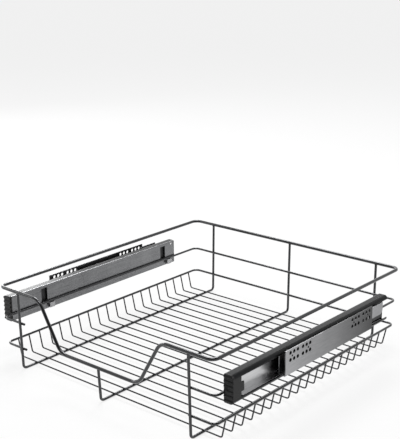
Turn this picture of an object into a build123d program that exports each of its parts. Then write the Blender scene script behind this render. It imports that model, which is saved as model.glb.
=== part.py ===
from build123d import *
import os

# Frame: +X to the right, the scooped front faces -Y, +Z up. The origin is the
# middle of the basket at the underside of its support wires. Millimetres.

# ---- basket ----
rim_w = 458.3            # between the rim's side centrelines
rim_d = 489.2            # between the rim's front and back centrelines
rim_wire = 5.5           # wire diameters
support_wire = 4.4
ring_wire = 4.0
floor_wire = 2.4
rim_bend = 12.0          # centreline radii in plan
ring_bend = 10.0
ring_joint = 1.0         # straight run between a ring's bend and the butt joint past it
weld_sink = 0.3          # how far one welded wire melts into the next
cut_past = 1.0           # a cutting shape runs this far past what it cuts

floor_to_rim = 130.9     # floor wire centreline to rim centreline
rim_to_middle = 55.6
rim_to_lower = 100.3
middle_w = 456.0
lower_w = 452.6
stub_past = 6.2          # ring ends run this far past the front uprights

support_in = 42.4        # left and right support wires, in from the lower ring's sides
support_lean = 3.1       # how far the uprights lean in, top to bottom
support_bend = 6.5

scoop_bottom = 85.0      # half widths at the bend points of the front
scoop_top = 131.5
scoop_drop = 78.5
scoop_bend = 25.0

floor_count = 20
floor_span = 430.9       # first to last floor wire
floor_flare = 6.8        # a floor wire's ends lean out by this much
floor_bend = 4.0

# ---- runner, right hand one ----
profile_gap = 0.4        # middle ring wire to the profile's web
sheet = 1.5
profile_w = 17.0
profile_h = 44.0
profile_below_rim = 47.2  # profile's middle height under the rim centreline
profile_length = 400.0
profile_setback = 23.6   # behind the rim's front centreline
lip = 6.0
bend = 2.0               # outer radius of a fold in the sheet
race_bend = 5.5          # outer radius where the drawer profile curls round its balls

# Depths are taken from the drawer profile's front or rear end.
ball = 3.0
ball_gap = 0.1           # ball to each race
race_sheet = 1.2         # intermediate and cabinet profiles
side_gap = 2.0           # between neighbouring webs
lip_gap = 1.0            # moving lips to the fixed bracket
middle_from_cap = 1.0
middle_short = 14.0      # ends before the drawer profile's rear
cabinet_in = 107.0       # starts behind the drawer profile's front
cabinet_short = 13.0
middle_to_lip = 1.5

cage_sheet = 0.8
cage_in = 207.0
cage_length = 82.0
cage_balls = 8
pocket_gap = 0.15

plate_stand = 9.6        # cabinet wall plane, out from the moving lips
plate_in = 104.3
plate_length = 233.4
plate_above = 24.7       # over the profile's middle height
hole_d = 6.0
small_hole_d = 3.4
hole_pitch = 9.0
hole_gap = 13.0          # between the two threes of a row
hole_in_front = 11.7     # first hole behind the plate's front edge
hole_in_rear = 9.3       # last hole before the plate's rear edge
hole_row_upper = 18.9    # over the profile's middle height
hole_row_lower = 7.9

bracket_lap = 5.7        # the bracket's hold on the plate
bracket_short = 28.0     # ends before the drawer profile's rear
bracket_above = 20.0
bracket_low = 1.4        # its leg's lower edge over the middle height
bracket_corner = 8.0
foot_length = 29.0
foot_below = 6.0

rivet_d = 3.2
rivet_head_d = 6.0
rivet_head = 1.0
rivet_count = 3
rivet_in = 20.7          # first and last rivet from the plate's ends
foot_rivet_in = 15.0     # from the bracket's rear

cap_face = 3.0
cap_plug = 15.0
cap_tongue = 21.0
cap_tongue_h = 14.0
cap_gap = 0.1
cap_wall = 2.0
cap_ribs = 6
cap_rib_r = 2.2
cap_rib_proud = 1.6
cap_rib_inset = 0.6

window_in = 63.5
window_w = 13.0
window_to_tongue = 1.0
window_above = 17.0
window_below = 6.5
rear_window_in = 39.0    # rear window's front edge from the profile's rear
tongue_w = 10.5
tongue_reach = 5.5
tongue_drop = 9.0
tongue_gap = 0.05        # ring wire to the tongue's shelf
rear_hole_d = 4.2
rear_hole_in = 8.0
rear_hole_up = 17.0

buffer_plug = 8.0
buffer_head = 3.0
buffer_gap = 0.2

# ---- shared places ----
support_z = support_wire / 2
floor_z = support_wire + floor_wire / 2 - weld_sink
rim_z = floor_z + floor_to_rim
middle_z = rim_z - rim_to_middle
lower_z = rim_z - rim_to_lower
half_d = rim_d / 2
support_at = lower_w / 2 - support_in
floor_half = lower_w / 2 - floor_flare
rim_under = rim_z - rim_wire / 2 + weld_sink
ring_offset = support_wire / 2 + ring_wire / 2 - weld_sink


def upright_y(z):
    # depth of the front and back uprights' centrelines at a height
    share = (rim_z - z) / (rim_z - support_z)
    return half_d - support_lean * share


middle_y = upright_y(middle_z) - ring_offset
lower_y = upright_y(lower_z) - ring_offset

web_x = middle_w / 2 + ring_wire / 2 + profile_gap
profile_z = rim_z - profile_below_rim
profile_front = profile_setback - half_d
profile_rear = profile_front + profile_length
middle_front = profile_front + cap_tongue + middle_from_cap
middle_rear = profile_rear - middle_short
cabinet_front = profile_front + cabinet_in
cabinet_rear = profile_rear - cabinet_short
cage_front = profile_front + cage_in
cage_rear = cage_front + cage_length
plate_front = profile_front + plate_in
plate_rear = plate_front + plate_length
bracket_front = plate_rear - bracket_lap
bracket_rear = profile_rear - bracket_short
bracket_rivet_y = bracket_rear - foot_rivet_in
lip_x = web_x + profile_w
race = ball + 2 * ball_gap
middle_web = web_x + sheet + side_gap
middle_half = profile_h / 2 - sheet - race
middle_edge = lip_x - sheet - middle_to_lip
cabinet_half = middle_half - race_sheet - race
cabinet_flange = middle_web + race_sheet + side_gap
leg_half = profile_h / 2 - lip - lip_gap
leg_outer = middle_edge + sheet
plate_outer = lip_x + plate_stand
plate_inner = plate_outer - sheet
rivet_step = (plate_length - 2 * rivet_in) / (rivet_count - 1)
rivet_ys = [plate_front + rivet_in + number * rivet_step for number in range(rivet_count)]


def box(x0, x1, y0, y1, z0, z1):
    middle = ((x0 + x1) / 2, (y0 + y1) / 2, (z0 + z1) / 2)
    return Pos(*middle) * Box(abs(x1 - x0), abs(y1 - y0), abs(z1 - z0))


def bore(x0, x1, y, z, diameter):
    # a round hole, pin or head along X
    turned = Pos((x0 + x1) / 2, y, z) * Rot(0, 90, 0)
    return turned * Cylinder(diameter / 2, abs(x1 - x0))


def wire_run(edge, diameter):
    # one straight length or one bend of round wire
    start = Plane(origin=edge @ 0, z_dir=edge % 0)
    return sweep(start * Circle(diameter / 2), path=edge)


def wire_along(path, diameter):
    runs = [wire_run(edge, diameter) for edge in path.edges()]
    return runs[0].fuse(*runs[1:])


def mirrored(shape):
    return mirror(shape, about=Plane.YZ)


def section_along_y(points, y0, y1):
    # an outline in X and Z, drawn out along Y
    rear = Plane(origin=(0, y1, 0), x_dir=(1, 0, 0), z_dir=(0, -1, 0))
    outline = make_face(Polyline(*points, close=True))
    return extrude(rear * outline, amount=y1 - y0)


def channel_outline(x_web, x_edge, half, thick):
    # C section: web at x_web, flanges running to x_edge
    z = profile_z
    step = thick if x_edge > x_web else -thick
    return [
        (x_web, z - half), (x_edge, z - half), (x_edge, z - half + thick),
        (x_web + step, z - half + thick), (x_web + step, z + half - thick),
        (x_edge, z + half - thick), (x_edge, z + half), (x_web, z + half),
    ]


# ---- basket wires ----
def make_rim():
    side = rim_w / 2
    front = -half_d
    low = rim_z - scoop_drop
    points = [
        (side, half_d, rim_z), (-side, half_d, rim_z),
        (-side, front, rim_z), (-scoop_top, front, rim_z),
        (-scoop_bottom, front, low), (scoop_bottom, front, low),
        (scoop_top, front, rim_z), (side, front, rim_z),
    ]
    bends = [rim_bend] * 3 + [scoop_bend] * 4 + [rim_bend]
    path = FilletPolyline(*points, radius=bends, close=True)
    return wire_along(path, rim_wire)


def make_ring(width, z, y):
    # five lengths, butted end to end: the back, two sides with both their
    # bends, and the two short ends at the front
    half = width / 2
    end = support_at - stub_past
    joint = half - ring_bend - ring_joint
    back = wire_run(Line((-joint, y, z), (joint, y, z)), ring_wire)
    points = [(joint, -y, z), (half, -y, z), (half, y, z), (joint, y, z)]
    side = wire_along(FilletPolyline(*points, radius=ring_bend), ring_wire)
    front = wire_run(Line((end, -y, z), (joint, -y, z)), ring_wire)
    return Compound(children=[back, side, mirrored(side), front, mirrored(front)])


def make_support(x, front_top):
    front_low = upright_y(support_z)
    points = [
        (x, -half_d, front_top),
        (x, -front_low, support_z), (x, front_low, support_z),
        (x, upright_y(rim_under), rim_under),
    ]
    return wire_along(FilletPolyline(*points, radius=support_bend), support_wire)


def make_floor_wires():
    top = lower_z - ring_wire / 2 + weld_sink
    pitch = floor_span / (floor_count - 1)
    wires = []
    for number in range(floor_count):
        y = -floor_span / 2 + number * pitch
        points = [
            (-lower_w / 2, y, top), (-floor_half, y, floor_z),
            (floor_half, y, floor_z), (lower_w / 2, y, top),
        ]
        path = FilletPolyline(*points, radius=floor_bend)
        wires.append(wire_along(path, floor_wire))
    return wires


# ---- runner pieces, right hand ----
def rounded_corners(body, height, x_from, x_to, radius):
    # rounds the edges along Y that lie this far above and below the middle height
    def chosen(edge):
        middle = edge.center()
        off = abs(abs(middle.Z - profile_z) - height)
        return off < cut_past / 2 and x_from < middle.X < x_to
    return fillet(body.edges().filter_by(Axis.Y).filter_by(chosen), radius)


def make_drawer_profile():
    half = profile_h / 2
    z = profile_z
    inner = lip_x - sheet
    outline = [
        (web_x, z - half), (lip_x, z - half), (lip_x, z - half + lip),
        (inner, z - half + lip), (inner, z - half + sheet),
        (web_x + sheet, z - half + sheet), (web_x + sheet, z + half - sheet),
        (inner, z + half - sheet), (inner, z + half - lip),
        (lip_x, z + half - lip), (lip_x, z + half), (web_x, z + half),
    ]
    body = section_along_y(outline, profile_front, profile_rear)
    body = rounded_corners(body, half, web_x - cut_past, middle_web, bend)
    body = rounded_corners(body, half - sheet, middle_web, lip_x, race_bend - sheet)
    body = rounded_corners(body, half, middle_web, lip_x + cut_past, race_bend)
    shelf_top = middle_z - ring_wire / 2 - tongue_gap
    cut_in = web_x - cut_past
    cut_out = web_x + sheet + cut_past
    for front in (profile_front + window_in, profile_rear - rear_window_in):
        tongue = front + window_w + window_to_tongue
        body -= box(cut_in, cut_out, front, front + window_w,
                    z - window_below, z + window_above)
        body -= box(cut_in, cut_out, tongue, tongue + tongue_w,
                    shelf_top - tongue_drop, shelf_top - sheet)
        body += box(web_x - tongue_reach, web_x + sheet, tongue, tongue + tongue_w,
                    shelf_top - sheet, shelf_top)
        body += box(web_x - tongue_reach, web_x - tongue_reach + sheet, tongue,
                    tongue + tongue_w, shelf_top - tongue_drop, shelf_top)
    for height in (-rear_hole_up, rear_hole_up):
        body -= bore(cut_in, cut_out, profile_rear - rear_hole_in, z + height, rear_hole_d)
    return body


def make_end_cap():
    half = profile_h / 2
    z = profile_z
    face = profile_front - cap_face
    cap = box(web_x, lip_x, face, profile_front, z - half, z + half)
    cap = rounded_corners(cap, half, web_x - cut_past, middle_web, bend)
    cap = rounded_corners(cap, half, middle_web, lip_x + cut_past, race_bend)
    pitch = profile_h / cap_ribs
    for number in range(cap_ribs):
        height = z - half + (number + 0.5) * pitch
        rib = Pos((web_x + lip_x) / 2, face + cap_rib_r - cap_rib_proud, height)
        cap += rib * Rot(0, 90, 0) * Cylinder(cap_rib_r, profile_w - 2 * cap_rib_inset)
    inner_half = half - sheet - cap_gap
    plug_in = web_x + sheet + cap_gap
    plug_out = lip_x - sheet - cap_gap
    rear = profile_front + cap_plug
    plug = box(plug_in, plug_out, profile_front, rear, z - inner_half, z + inner_half)
    plug = rounded_corners(plug, inner_half, middle_web, lip_x, race_bend - sheet)
    between = half - lip - cap_gap
    plug += box(plug_out, lip_x, profile_front, rear, z - between, z + between)
    plug -= box(plug_in + cap_wall, plug_out - cap_wall, profile_front, rear + cut_past,
                z - inner_half + cap_wall, z + inner_half - cap_wall)
    tongue_rear = profile_front + cap_tongue
    plug += box(lip_x - cap_wall, lip_x, profile_front, tongue_rear,
                z - cap_tongue_h / 2, z + cap_tongue_h / 2)
    return cap + plug


def make_middle_profile():
    outline = channel_outline(middle_web, middle_edge, middle_half, race_sheet)
    return section_along_y(outline, middle_front, middle_rear)


def make_cabinet_profile():
    outline = channel_outline(middle_edge, cabinet_flange, cabinet_half, race_sheet)
    body = section_along_y(outline, cabinet_front, cabinet_rear)
    for y in (*rivet_ys, bracket_rivet_y):
        body -= bore(middle_edge - race_sheet - cut_past, middle_edge + cut_past,
                     y, profile_z, rivet_d)
    return body


def hole_rows(group_front):
    # the big holes of one group, as depths along a row
    ys = []
    for three in (0, 1):
        start = group_front + three * (2 * hole_pitch + hole_gap)
        ys += [start + step * hole_pitch for step in range(3)]
    return ys


def make_cabinet_plate():
    # one folded sheet: wall plate, floor and the inner leg behind the profile
    z = profile_z
    low = z - leg_half
    plate = box(plate_inner, plate_outer, plate_front, plate_rear, low, z + plate_above)
    plate += box(middle_edge, plate_inner, plate_front, plate_rear, low, low + sheet)
    plate += box(middle_edge, leg_outer, plate_front, plate_rear, low, z + leg_half)
    plate = fillet(plate.edges().filter_by(Axis.Y).sort_by(Axis.Z)[:2], bend)
    cut_in = plate_inner - cut_past
    cut_out = plate_outer + cut_past
    group_length = 2 * (2 * hole_pitch) + hole_gap
    rear_group = plate_rear - hole_in_rear - group_length
    for group in (plate_front + hole_in_front, rear_group):
        ys = hole_rows(group)
        for y in ys:
            for row in (hole_row_upper, hole_row_lower):
                plate -= bore(cut_in, cut_out, y, z + row, hole_d)
        small_z = z + (hole_row_upper + hole_row_lower) / 2
        for y in ((ys[0] + ys[1]) / 2, (ys[4] + ys[5]) / 2):
            plate -= bore(cut_in, cut_out, y, small_z, small_hole_d)
    for y in rivet_ys:
        plate -= bore(middle_edge - cut_past, leg_outer + cut_past, y, z, rivet_d)
    return plate


def make_rear_bracket():
    z = profile_z
    leg = box(plate_inner - sheet, plate_inner, bracket_front, bracket_rear,
              z + bracket_low, z + bracket_above)
    corner = leg.edges().filter_by(Axis.X).sort_by(Axis.Z)[:2].sort_by(Axis.Y)[-1]
    bracket = fillet(corner, bracket_corner)
    bracket += box(middle_edge, plate_inner, bracket_rear - sheet, bracket_rear,
                   z + bracket_low + bracket_corner, z + leg_half)
    bracket += box(middle_edge, leg_outer, bracket_rear - foot_length, bracket_rear,
                   z - foot_below, z + leg_half)
    bracket -= bore(middle_edge - cut_past, leg_outer + cut_past, bracket_rivet_y,
                    z, rivet_d)
    return bracket


def make_rivets():
    rivets = []
    inner = middle_edge - race_sheet
    outer = leg_outer
    for y in (*rivet_ys, bracket_rivet_y):
        rivet = bore(inner, outer, y, profile_z, rivet_d)
        rivet += bore(inner - rivet_head, inner, y, profile_z, rivet_head_d)
        rivet += bore(outer, outer + rivet_head, y, profile_z, rivet_head_d)
        rivets.append(rivet)
    return rivets


def make_buffer():
    z = profile_z
    plug_half = cabinet_half - race_sheet - buffer_gap
    plug = box(cabinet_flange, middle_edge - race_sheet - buffer_gap,
               cabinet_rear - buffer_plug, cabinet_rear, z - plug_half, z + plug_half)
    head_half = middle_half - buffer_gap
    head = box(middle_web, middle_edge, cabinet_rear,
               cabinet_rear + buffer_head, z - head_half, z + head_half)
    return plug + head


def cage_rows(half):
    pitch = (cage_rear - cage_front) / cage_balls
    ys = [cage_front + (number + 0.5) * pitch for number in range(cage_balls)]
    return [(y, profile_z + side * half) for side in (-1, 1) for y in ys]


def make_cage(web, edge, half, ball_x):
    outline = channel_outline(web, edge, half + cage_sheet / 2, cage_sheet)
    cage = section_along_y(outline, cage_front, cage_rear)
    pocket = ball + 2 * pocket_gap
    for y, z in cage_rows(half):
        cage -= Pos(ball_x, y, z) * Cylinder(pocket / 2, 2 * (cage_sheet + cut_past))
    return cage


def make_balls(half, ball_x):
    return [Pos(ball_x, y, z) * Sphere(ball / 2) for y, z in cage_rows(half)]


outer_row = middle_half + race / 2
inner_row = cabinet_half + race / 2
outer_cage_web = middle_web - side_gap / 2 - cage_sheet / 2
inner_cage_web = cabinet_flange - side_gap / 2 - cage_sheet / 2
ball_x = (cabinet_flange + middle_edge - race_sheet) / 2
cage_edge = ball_x + ball / 2 + 2 * cage_sheet

parts = {
    "rim_wire": make_rim(),
    "middle_ring_wire": make_ring(middle_w, middle_z, middle_y),
    "lower_ring_wire": make_ring(lower_w, lower_z, lower_y),
    "support_wire_left": make_support(-support_at, rim_under),
    "support_wire_middle": make_support(0, rim_under - scoop_drop),
    "support_wire_right": make_support(support_at, rim_under),
    "floor_wires": Compound(children=make_floor_wires()),
}
right_hand = {
    "drawer_profile": make_drawer_profile(),
    "end_cap": make_end_cap(),
    "middle_profile": make_middle_profile(),
    "cabinet_profile": make_cabinet_profile(),
    "cabinet_plate": make_cabinet_plate(),
    "rear_bracket": make_rear_bracket(),
    "rivets": Compound(children=make_rivets()),
    "rear_buffer": make_buffer(),
    "outer_cage": make_cage(outer_cage_web, cage_edge, outer_row, ball_x),
    "outer_balls": Compound(children=make_balls(outer_row, ball_x)),
    "inner_cage": make_cage(inner_cage_web, cage_edge, inner_row, ball_x),
    "inner_balls": Compound(children=make_balls(inner_row, ball_x)),
}
for name, shape in right_hand.items():
    parts[name + "_right"] = shape
    parts[name + "_left"] = mirrored(shape)

os.makedirs("parts", exist_ok=True)
for name, shape in parts.items():
    export_step(shape, f"parts/{name}.step")
    solids = shape.solids()
    print(name, len(solids), round(sum(s.volume for s in solids), 2),
          all(s.is_valid for s in solids))
whole = Compound(children=[s for shape in parts.values() for s in shape.solids()])
size = whole.bounding_box().size
print("size", round(size.X, 2), round(size.Y, 2), round(size.Z, 2))
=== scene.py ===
import bmesh
import bpy
from math import radians
from mathutils import Matrix, Vector


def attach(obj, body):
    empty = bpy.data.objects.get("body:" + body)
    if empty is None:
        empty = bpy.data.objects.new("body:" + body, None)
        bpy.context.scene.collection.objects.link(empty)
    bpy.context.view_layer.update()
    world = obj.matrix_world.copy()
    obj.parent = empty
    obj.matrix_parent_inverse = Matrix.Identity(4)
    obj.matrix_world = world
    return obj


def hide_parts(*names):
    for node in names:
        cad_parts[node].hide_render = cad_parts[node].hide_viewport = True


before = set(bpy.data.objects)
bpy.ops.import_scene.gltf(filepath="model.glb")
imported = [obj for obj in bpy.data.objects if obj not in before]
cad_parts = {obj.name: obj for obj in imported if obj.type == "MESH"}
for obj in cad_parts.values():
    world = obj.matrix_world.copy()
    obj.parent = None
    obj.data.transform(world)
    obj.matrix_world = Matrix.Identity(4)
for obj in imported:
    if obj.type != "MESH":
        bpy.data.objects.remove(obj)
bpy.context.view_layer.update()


# ---- Rim wire ----
# The 5.5 mm steel rod that runs once round the top as a closed loop, bent down
# into the scoop at the front. It has a dark grey coat with a metallic shine.
def mottled_finish(name, dark, light, metallic, smooth, dull, grain, relief, depth=0.25):
    """One finish, mottled from a dark, smooth tone to a light, duller one.

    smooth and dull are its two roughnesses, grain is the scale of the specks along
    X, Y and Z, and relief and depth are the height and the strength of the bump.
    """
    material = bpy.data.materials.new(name)
    material.use_nodes = True
    nodes = material.node_tree.nodes
    links = material.node_tree.links
    shader = nodes["Principled BSDF"]
    shader.inputs["Metallic"].default_value = metallic
    place = nodes.new("ShaderNodeTexCoord")
    stretch = nodes.new("ShaderNodeMapping")
    stretch.inputs["Scale"].default_value = grain
    links.new(place.outputs["Object"], stretch.inputs["Vector"])
    specks = nodes.new("ShaderNodeTexNoise")
    specks.inputs["Scale"].default_value = 1.0
    specks.inputs["Detail"].default_value = 5.0
    links.new(stretch.outputs["Vector"], specks.inputs["Vector"])
    patches = nodes.new("ShaderNodeTexNoise")
    patches.inputs["Scale"].default_value = 22.0
    patches.inputs["Detail"].default_value = 3.0
    links.new(place.outputs["Object"], patches.inputs["Vector"])
    equal_part = 0.5
    mottle = nodes.new("ShaderNodeMath")
    mottle.operation = "MULTIPLY_ADD"
    mottle.inputs[1].default_value = equal_part
    links.new(specks.outputs["Fac"], mottle.inputs[0])
    patch_part = nodes.new("ShaderNodeMath")
    patch_part.operation = "MULTIPLY"
    patch_part.inputs[1].default_value = equal_part
    links.new(patches.outputs["Fac"], patch_part.inputs[0])
    links.new(patch_part.outputs["Value"], mottle.inputs[2])
    tone = nodes.new("ShaderNodeValToRGB")
    tone.color_ramp.elements[0].position = 0.35
    tone.color_ramp.elements[0].color = (*dark, 1)
    tone.color_ramp.elements[1].position = 0.65
    tone.color_ramp.elements[1].color = (*light, 1)
    links.new(mottle.outputs["Value"], tone.inputs["Fac"])
    links.new(tone.outputs["Color"], shader.inputs["Base Color"])
    roughness = nodes.new("ShaderNodeMapRange")
    roughness.inputs["From Min"].default_value = 0.3
    roughness.inputs["From Max"].default_value = 0.7
    roughness.inputs["To Min"].default_value = smooth
    roughness.inputs["To Max"].default_value = dull
    links.new(mottle.outputs["Value"], roughness.inputs["Value"])
    links.new(roughness.outputs["Result"], shader.inputs["Roughness"])
    surface = nodes.new("ShaderNodeBump")
    surface.inputs["Strength"].default_value = depth
    surface.inputs["Distance"].default_value = relief
    links.new(specks.outputs["Fac"], surface.inputs["Height"])
    links.new(surface.outputs["Normal"], shader.inputs["Normal"])
    return material


def dress(node, material):
    """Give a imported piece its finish."""
    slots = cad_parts[node].data.materials
    slots.clear()
    slots.append(material)


wire_coat = mottled_finish("wire_coat", (0.03, 0.031, 0.033), (0.05, 0.051, 0.054),
                           metallic=1.0, smooth=0.13, dull=0.19, grain=(900, 900, 900),
                           relief=0.00002, depth=0.05)
wire_shader = wire_coat.node_tree.nodes["Principled BSDF"]
wire_shader.inputs["Coat Weight"].default_value = 0.6
wire_shader.inputs["Coat Roughness"].default_value = 0.12
dress("rim_wire", wire_coat)


# ---- Ring wires and support wires ----
# Two 4 mm rings carry the sides and three 4.4 mm supports run down, under and
# up. They are bent from round rod, spot welded, and coated together with the rim.
for node in ("middle_ring_wire", "lower_ring_wire", "support_wire_left",
             "support_wire_middle", "support_wire_right"):
    dress(node, wire_coat)


# ---- Floor wires ----
# Twenty 2.4 mm wires lie across the supports and turn up at both sides to the
# lower ring. Each is spot welded wherever it crosses a thicker wire.
thin_wire_coat = mottled_finish("thin_wire_coat", (0.036, 0.037, 0.039),
                                (0.06, 0.061, 0.064), metallic=1.0, smooth=0.16,
                                dull=0.24, grain=(1200, 1200, 1200), relief=0.00002,
                                depth=0.05)
dress("floor_wires", thin_wire_coat)


# ---- Weld beads ----
# Small flattened nuggets of steel, left where the wires were pressed together
# hot. They are under the same coat as the wires that they join.
support_x = (-0.1839, 0.0, 0.1839)
outer_support_x = (support_x[0], support_x[2])
support_top = 0.0044
first_floor_y, floor_span, floor_gaps = -0.21545, 0.4309, 19
floor_y = [first_floor_y + number * floor_span / floor_gaps
           for number in range(floor_gaps + 1)]
lower_ring_x, lower_ring_under = 0.2263, 0.0341
middle_ring_z, middle_ring_y = 0.0806, 0.2412
lower_ring_z, lower_ring_y = 0.0359, 0.2401
rim_y, rim_under, scoop_under = 0.2444, 0.1336, 0.0551
floor_bead = (0.0017, 0.0015, 0.0008)     # half sizes along X, Y and Z
side_bead = (0.0014, 0.0019, 0.0007)
ring_bead = (0.0022, 0.0008, 0.0022)
rim_bead = (0.0027, 0.0024, 0.0008)
welds = bmesh.new()


def weld_bead(place, half_sizes):
    """One nugget, centred where two wires meet."""
    shape = Matrix.Translation(place) @ Matrix.Diagonal((*half_sizes, 1))
    bmesh.ops.create_icosphere(welds, subdivisions=2, radius=1.0, matrix=shape)


for y in floor_y:
    for x in support_x:
        weld_bead((x, y, support_top), floor_bead)
    for x in (-lower_ring_x, lower_ring_x):
        weld_bead((x, y, lower_ring_under), side_bead)
for z, y in ((middle_ring_z, middle_ring_y), (lower_ring_z, lower_ring_y)):
    for x in support_x:
        weld_bead((x, y, z), ring_bead)
    for x in outer_support_x:
        weld_bead((x, -y, z), ring_bead)
for x in support_x:
    weld_bead((x, rim_y, rim_under), rim_bead)
for x in outer_support_x:
    weld_bead((x, -rim_y, rim_under), rim_bead)
weld_bead((0.0, -rim_y, scoop_under), rim_bead)
weld_mesh = bpy.data.meshes.new("weld_beads")
welds.to_mesh(weld_mesh)
welds.free()
weld_mesh.shade_smooth()
weld_mesh.materials.append(wire_coat)
weld_beads = bpy.data.objects.new("weld_beads", weld_mesh)
bpy.context.collection.objects.link(weld_beads)
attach(weld_beads, "basket")


# ---- Drawer profiles ----
# The outermost moving channel, roll formed from 1.5 mm sheet with the windows
# and hook tongues punched out of its web. Its flanges and curls get a near black
# copy of its coat, which is painted shade.
def eased_copy(node, name, material, body, radius):
    """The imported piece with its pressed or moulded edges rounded, in its place."""
    same_corner = 0.000002
    nearly_flat = radians(1)
    sharp = radians(40)
    shape = bmesh.new()
    shape.from_mesh(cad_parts[node].data)
    bmesh.ops.remove_doubles(shape, verts=shape.verts, dist=same_corner)
    bmesh.ops.dissolve_limit(shape, angle_limit=nearly_flat, verts=shape.verts,
                             edges=shape.edges)
    mesh = bpy.data.meshes.new(name)
    shape.to_mesh(mesh)
    shape.free()
    mesh.shade_smooth()
    mesh.materials.append(material)
    piece = bpy.data.objects.new(name, mesh)
    bpy.context.collection.objects.link(piece)
    edges = piece.modifiers.new("eased edges", "BEVEL")
    edges.width = radius
    edges.segments = 2
    edges.limit_method = "ANGLE"
    edges.angle_limit = sharp
    edges.use_clamp_overlap = True
    flats = piece.modifiers.new("flat faces stay flat", "WEIGHTED_NORMAL")
    flats.mode = "FACE_AREA"
    flats.weight = 100
    flats.keep_sharp = True
    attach(piece, body)
    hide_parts(node)
    return piece


def second_finish(piece, material, chosen):
    """Another finish on the faces that chosen(centre, normal) picks."""
    piece.data.materials.append(material)
    for face in piece.data.polygons:
        if chosen(face.center, face.normal):
            face.material_index = len(piece.data.materials) - 1


profile_coat = mottled_finish("profile_coat", (0.2, 0.202, 0.208), (0.27, 0.273, 0.28),
                              metallic=0.95, smooth=0.26, dull=0.36,
                              grain=(300, 12, 300), relief=0.00001, depth=0.06)
# A near black copy of the profile coat: painted shade on the flanges and curls.
painted_shade_lip_coat = mottled_finish("painted_shade_lip_coat", (0.010, 0.0105, 0.011), (0.017, 0.0175, 0.019),
                          metallic=0.9, smooth=0.24, dull=0.34, grain=(300, 12, 300),
                          relief=0.00001, depth=0.06)
# A lighter tone than the profile, put on the hook tongues pressed from it.
light_hook_tone = mottled_finish("light_hook_tone", (0.34, 0.342, 0.35), (0.5, 0.502, 0.51),
                            metallic=1.0, smooth=0.25, dull=0.4, grain=(500, 500, 500),
                            relief=0.00003)
fold_at = 0.2324         # just past the fold from the web, out from the middle
hook_at = 0.2303         # just inside the web's basket face, where the hooks start
for side in ("right", "left"):
    profile = eased_copy("drawer_profile_" + side, "rolled_drawer_profile_" + side,
                         profile_coat, "basket", radius=0.0005)
    # The faces past the fold get the near black copy: painted shade.
    second_finish(profile, painted_shade_lip_coat, lambda centre, normal: abs(centre.x) > fold_at)
    # The hook tongues get the lighter tone.
    second_finish(profile, light_hook_tone, lambda centre, normal: abs(centre.x) < hook_at)


# ---- End caps ----
# Black moulded plugs pushed into the front of the drawer profiles, with six
# rounded ribs across the face and a tongue along the outer side.
cap_plastic = mottled_finish("cap_plastic", (0.004, 0.004, 0.0045), (0.009, 0.009, 0.0095),
                             metallic=0.0, smooth=0.26, dull=0.38,
                             grain=(1600, 1600, 1600), relief=0.00004, depth=0.15)
cap_shader = cap_plastic.node_tree.nodes["Principled BSDF"]
cap_shader.inputs["Specular IOR Level"].default_value = 0.25
for side in ("right", "left"):
    eased_copy("end_cap_" + side, "moulded_end_cap_" + side, cap_plastic,
               "basket", radius=0.0003)


# ---- Middle profiles and cabinet profiles ----
# Roll formed channels that run inside each other on two rows of balls. The
# middle one is zinc plated and bright. Its face toward the basket and the outer
# faces of its flanges get dark steel as painted shade. The cabinet one is dark steel.
zinc_profile = mottled_finish("zinc_profile", (0.55, 0.552, 0.56), (0.7, 0.703, 0.71),
                              metallic=1.0, smooth=0.26, dull=0.38,
                              grain=(300, 12, 300), relief=0.00002, depth=0.1)
# Dark steel: the cabinet profile's own tone, and painted shade where it is put on faces of
# the middle profile and the plates.
dark_steel_and_painted_shade = mottled_finish("dark_steel_and_painted_shade", (0.03, 0.03, 0.031), (0.055, 0.055, 0.057),
                            metallic=0.8, smooth=0.3, dull=0.45, grain=(400, 40, 400),
                            relief=0.00002)
runner_height = 0.089    # the middle of the channels, above the floor
flange_rise = 0.005      # an outer face of a flange is at least this far from it
for side, outward in (("right", 1), ("left", -1)):
    channel = eased_copy("middle_profile_" + side, "rolled_middle_profile_" + side,
                         zinc_profile, "middle_" + side, radius=0.0003)
    # The face toward the basket and the outer faces of the flanges: painted shade.
    second_finish(channel, dark_steel_and_painted_shade,
                  lambda centre, normal: normal.x * outward < -0.5
                  or normal.z * (centre.z - runner_height) > flange_rise)
    eased_copy("cabinet_profile_" + side, "rolled_cabinet_profile_" + side,
               dark_steel_and_painted_shade, "cabinet_side", radius=0.0003)


# ---- Cabinet plates and rear brackets ----
# 1.5 mm zinc plated sheet. The plate is punched with two groups of screw holes
# and folded under into an inner leg; the bracket carries the profile's rear.
zinc_sheet = mottled_finish("zinc_sheet", (0.34, 0.342, 0.35), (0.48, 0.482, 0.49),
                            metallic=1.0, smooth=0.3, dull=0.42, grain=(60, 60, 900),
                            relief=0.00002, depth=0.12)
bracket_zinc = mottled_finish("bracket_zinc", (0.26, 0.262, 0.27), (0.38, 0.382, 0.39),
                              metallic=1.0, smooth=0.3, dull=0.45, grain=(60, 60, 900),
                              relief=0.00002)
leg_at = 0.2548          # between the inner leg and the wall plate, out from the middle
holes_low, holes_high = 0.0915, 0.1115
holes_front, holes_rear = -0.1116, 0.1117


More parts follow.
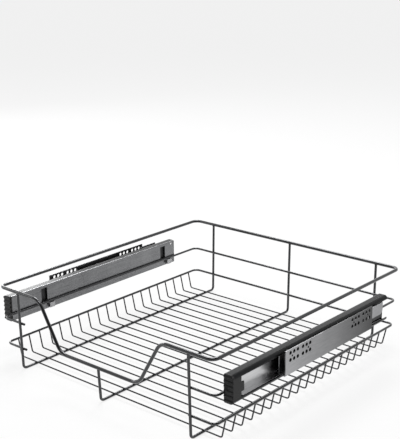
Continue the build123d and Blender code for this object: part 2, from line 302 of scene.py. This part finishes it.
def painted_shade_to_rear(material, front, rear, tone_left):
    """Painted shade: the tone falls evenly from front to rear, in metres along Y, to
    tone_left.
    """
    nodes = material.node_tree.nodes
    links = material.node_tree.links
    shader = nodes["Principled BSDF"]
    unshaded_tone = shader.inputs["Base Color"].links[0].from_socket
    place = nodes.new("ShaderNodeTexCoord")
    split = nodes.new("ShaderNodeSeparateXYZ")
    links.new(place.outputs["Object"], split.inputs["Vector"])
    fall = nodes.new("ShaderNodeMapRange")
    fall.inputs["From Min"].default_value = front
    fall.inputs["From Max"].default_value = rear
    fall.inputs["To Min"].default_value = 1.0
    fall.inputs["To Max"].default_value = tone_left
    links.new(split.outputs["Y"], fall.inputs["Value"])
    shaded_tone = nodes.new("ShaderNodeMix")
    shaded_tone.data_type = "RGBA"
    shaded_tone.blend_type = "MULTIPLY"
    shaded_tone.inputs["Factor"].default_value = 1.0
    links.new(unshaded_tone, shaded_tone.inputs["A"])
    links.new(fall.outputs["Result"], shaded_tone.inputs["B"])
    links.new(shaded_tone.outputs["Result"], shader.inputs["Base Color"])


def shaded_leg_and_hole_walls(centre, normal):
    """The leg behind the profile, and the walls of the punched holes, that take painted
    shade.
    """
    if abs(centre.x) < leg_at:
        return abs(normal.x) > 0.5
    beside_holes = holes_low < centre.z < holes_high and holes_front < centre.y < holes_rear
    return abs(normal.x) < 0.5 and beside_holes


# The plates get darker towards the rear: painted shade.
painted_shade_to_rear(zinc_sheet, front=-0.1167, rear=0.11, tone_left=0.16)
for side in ("right", "left"):
    plate = eased_copy("cabinet_plate_" + side, "folded_cabinet_plate_" + side,
                       zinc_sheet, "cabinet_side", radius=0.00025)
    # Painted shade on the leg and the walls of the holes.
    second_finish(plate, dark_steel_and_painted_shade, shaded_leg_and_hole_walls)
    eased_copy("rear_bracket_" + side, "folded_rear_bracket_" + side, bracket_zinc,
               "cabinet_side", radius=0.0003)


# ---- Rivets, buffers, ball cages and balls ----
# Steel rivets, a soft buffer at the back stop, and pressed cages that keep the
# 3 mm balls of each row apart between the profiles.
rivet_steel = mottled_finish("rivet_steel", (0.36, 0.36, 0.36), (0.5, 0.5, 0.5),
                             metallic=1.0, smooth=0.25, dull=0.4, grain=(900, 900, 900),
                             relief=0.00002)
buffer_rubber = mottled_finish("buffer_rubber", (0.012, 0.012, 0.012), (0.02, 0.02, 0.02),
                               metallic=0.0, smooth=0.6, dull=0.75,
                               grain=(700, 700, 700), relief=0.00004)
cage_steel = mottled_finish("cage_steel", (0.3, 0.3, 0.31), (0.42, 0.42, 0.43),
                            metallic=1.0, smooth=0.3, dull=0.42, grain=(400, 40, 400),
                            relief=0.00002)
ball_steel = mottled_finish("ball_steel", (0.55, 0.55, 0.56), (0.62, 0.62, 0.63),
                            metallic=1.0, smooth=0.08, dull=0.14, grain=(300, 300, 300),
                            relief=0.000005)
for side in ("right", "left"):
    eased_copy("rivets_" + side, "headed_rivets_" + side, rivet_steel,
               "cabinet_side", radius=0.0004)
    eased_copy("rear_buffer_" + side, "soft_rear_buffer_" + side, buffer_rubber,
               "cabinet_side", radius=0.0004)
    for row in ("outer", "inner"):
        dress(row + "_balls_" + side, ball_steel)
        eased_copy(row + "_cage_" + side, "pressed_" + row + "_cage_" + side, cage_steel,
                   row + "_ball_row_" + side, radius=0.0002)


# ---- Floor of the studio ----
# A plain white table top, wide enough to reach past every view. It looks near
# white to the camera and in reflections, and still takes the basket's shadow.
def seen_or_mirrored(nodes, links):
    """1 for what the camera sees, straight or in a reflection, and 0 for the rest."""
    rays = nodes.new("ShaderNodeLightPath")
    either = nodes.new("ShaderNodeMath")
    either.operation = "MAXIMUM"
    links.new(rays.outputs["Is Camera Ray"], either.inputs[0])
    links.new(rays.outputs["Is Glossy Ray"], either.inputs[1])
    return either.outputs["Value"]


table_height = -0.0004   # a hair below the supports that stand on it
white_share = 0.82       # the rest is the table's own shaded white
table = bmesh.new()
bmesh.ops.create_grid(table, x_segments=1, y_segments=1, size=30.0,
                      matrix=Matrix.Translation((0, 0, table_height)))
table_mesh = bpy.data.meshes.new("table_top")
table.to_mesh(table_mesh)
table.free()
table_top = bpy.data.objects.new("table_top", table_mesh)
bpy.context.collection.objects.link(table_top)
table_white = bpy.data.materials.new("table_white")
table_white.use_nodes = True
nodes = table_white.node_tree.nodes
links = table_white.node_tree.links
shaded_white = nodes["Principled BSDF"]
shaded_white.inputs["Base Color"].default_value = (0.8, 0.8, 0.8, 1)
shaded_white.inputs["Roughness"].default_value = 0.9
even_white = nodes.new("ShaderNodeEmission")
even_white.inputs["Color"].default_value = (1, 1, 1, 1)
white_part = nodes.new("ShaderNodeMath")
white_part.operation = "MULTIPLY"
white_part.inputs[1].default_value = white_share
links.new(seen_or_mirrored(nodes, links), white_part.inputs[0])
table_blend = nodes.new("ShaderNodeMixShader")
links.new(white_part.outputs["Value"], table_blend.inputs["Fac"])
links.new(shaded_white.outputs["BSDF"], table_blend.inputs[1])
links.new(even_white.outputs["Emission"], table_blend.inputs[2])
links.new(table_blend.outputs["Shader"], nodes["Material Output"].inputs["Surface"])
table_mesh.materials.append(table_white)


# ---- Studio light ----
# A large soft box high behind on the left draws the light lines along the wires,
# a low one lights the left runner's top, and two weak ones fill in. The room is
# bright behind the basket and dim at its front right, which keeps the wires dark.
basket_middle = (0, 0, 0.07)
front_right = (0.62, -0.72, 0.31)     # a fixed direction in the room


def soft_box(name, place, width, height, watts):
    """A rectangular lamp at a place, turned to face the middle of the basket."""
    lamp = bpy.data.lights.new(name, "AREA")
    lamp.shape = "RECTANGLE"
    lamp.size = width
    lamp.size_y = height
    lamp.energy = watts
    holder = bpy.data.objects.new(name, lamp)
    holder.location = place
    direction = Vector(basket_middle) - Vector(place)
    holder.rotation_euler = direction.to_track_quat("-Z", "Y").to_euler()
    bpy.context.collection.objects.link(holder)


soft_box("rear_box", (-0.95, 1.05, 2.1), width=1.2, height=0.8, watts=45)
soft_box("low_left_box", (-2.1, 1.0, 0.8), width=0.7, height=0.5, watts=7)
soft_box("overhead_box", (0.2, -0.1, 1.9), width=0.7, height=0.7, watts=12)
soft_box("left_fill", (-1.9, -1.0, 0.9), width=1.0, height=0.8, watts=6)

room = bpy.data.worlds.new("white_room")
room.use_nodes = True
nodes = room.node_tree.nodes
links = room.node_tree.links
fill = nodes["Background"]
fill.inputs["Color"].default_value = (1, 1, 1, 1)
fill.inputs["Strength"].default_value = 0.35
backdrop = nodes.new("ShaderNodeBackground")
backdrop.inputs["Color"].default_value = (1, 1, 1, 1)
way = nodes.new("ShaderNodeTexCoord")
toward_front = nodes.new("ShaderNodeVectorMath")
toward_front.operation = "DOT_PRODUCT"
toward_front.inputs[1].default_value = front_right
links.new(way.outputs["Generated"], toward_front.inputs[0])
dimmed = nodes.new("ShaderNodeMapRange")
dimmed.inputs["From Min"].default_value = -0.2
dimmed.inputs["From Max"].default_value = 0.8
dimmed.inputs["To Min"].default_value = 1.0
dimmed.inputs["To Max"].default_value = 0.15
links.new(toward_front.outputs["Value"], dimmed.inputs["Value"])
rays = nodes.new("ShaderNodeLightPath")
brightness = nodes.new("ShaderNodeMath")
brightness.operation = "MAXIMUM"
links.new(rays.outputs["Is Camera Ray"], brightness.inputs[0])
links.new(dimmed.outputs["Result"], brightness.inputs[1])
links.new(brightness.outputs["Value"], backdrop.inputs["Strength"])
room_blend = nodes.new("ShaderNodeMixShader")
links.new(seen_or_mirrored(nodes, links), room_blend.inputs["Fac"])
links.new(fill.outputs["Background"], room_blend.inputs[1])
links.new(backdrop.outputs["Background"], room_blend.inputs[2])
links.new(room_blend.outputs["Shader"], nodes["World Output"].inputs["Surface"])
bpy.context.scene.world = room
bpy.context.scene.view_settings.view_transform = "Standard"


# ---- Camera ----
# It stands to the right in front and looks down over the rim, as fitted to the
# photograph. The columns of its turn are where its right, up and back point.
camera_place = (1.0435, -1.2004, 0.7056)
camera_turn = Matrix((
    (0.75487, -0.17806, 0.63124),
    (0.6558, 0.21977, -0.72224),
    (-0.01012, 0.95916, 0.28267),
)).to_quaternion().to_matrix().to_4x4()
lens = bpy.data.cameras.new("camera")
lens.sensor_fit = "HORIZONTAL"
lens.sensor_width = 36.0
lens.lens = 90.89
lens.clip_end = 100.0
camera = bpy.data.objects.new("camera", lens)
camera.matrix_world = Matrix.Translation(camera_place) @ camera_turn
bpy.context.collection.objects.link(camera)
bpy.context.scene.camera = camera
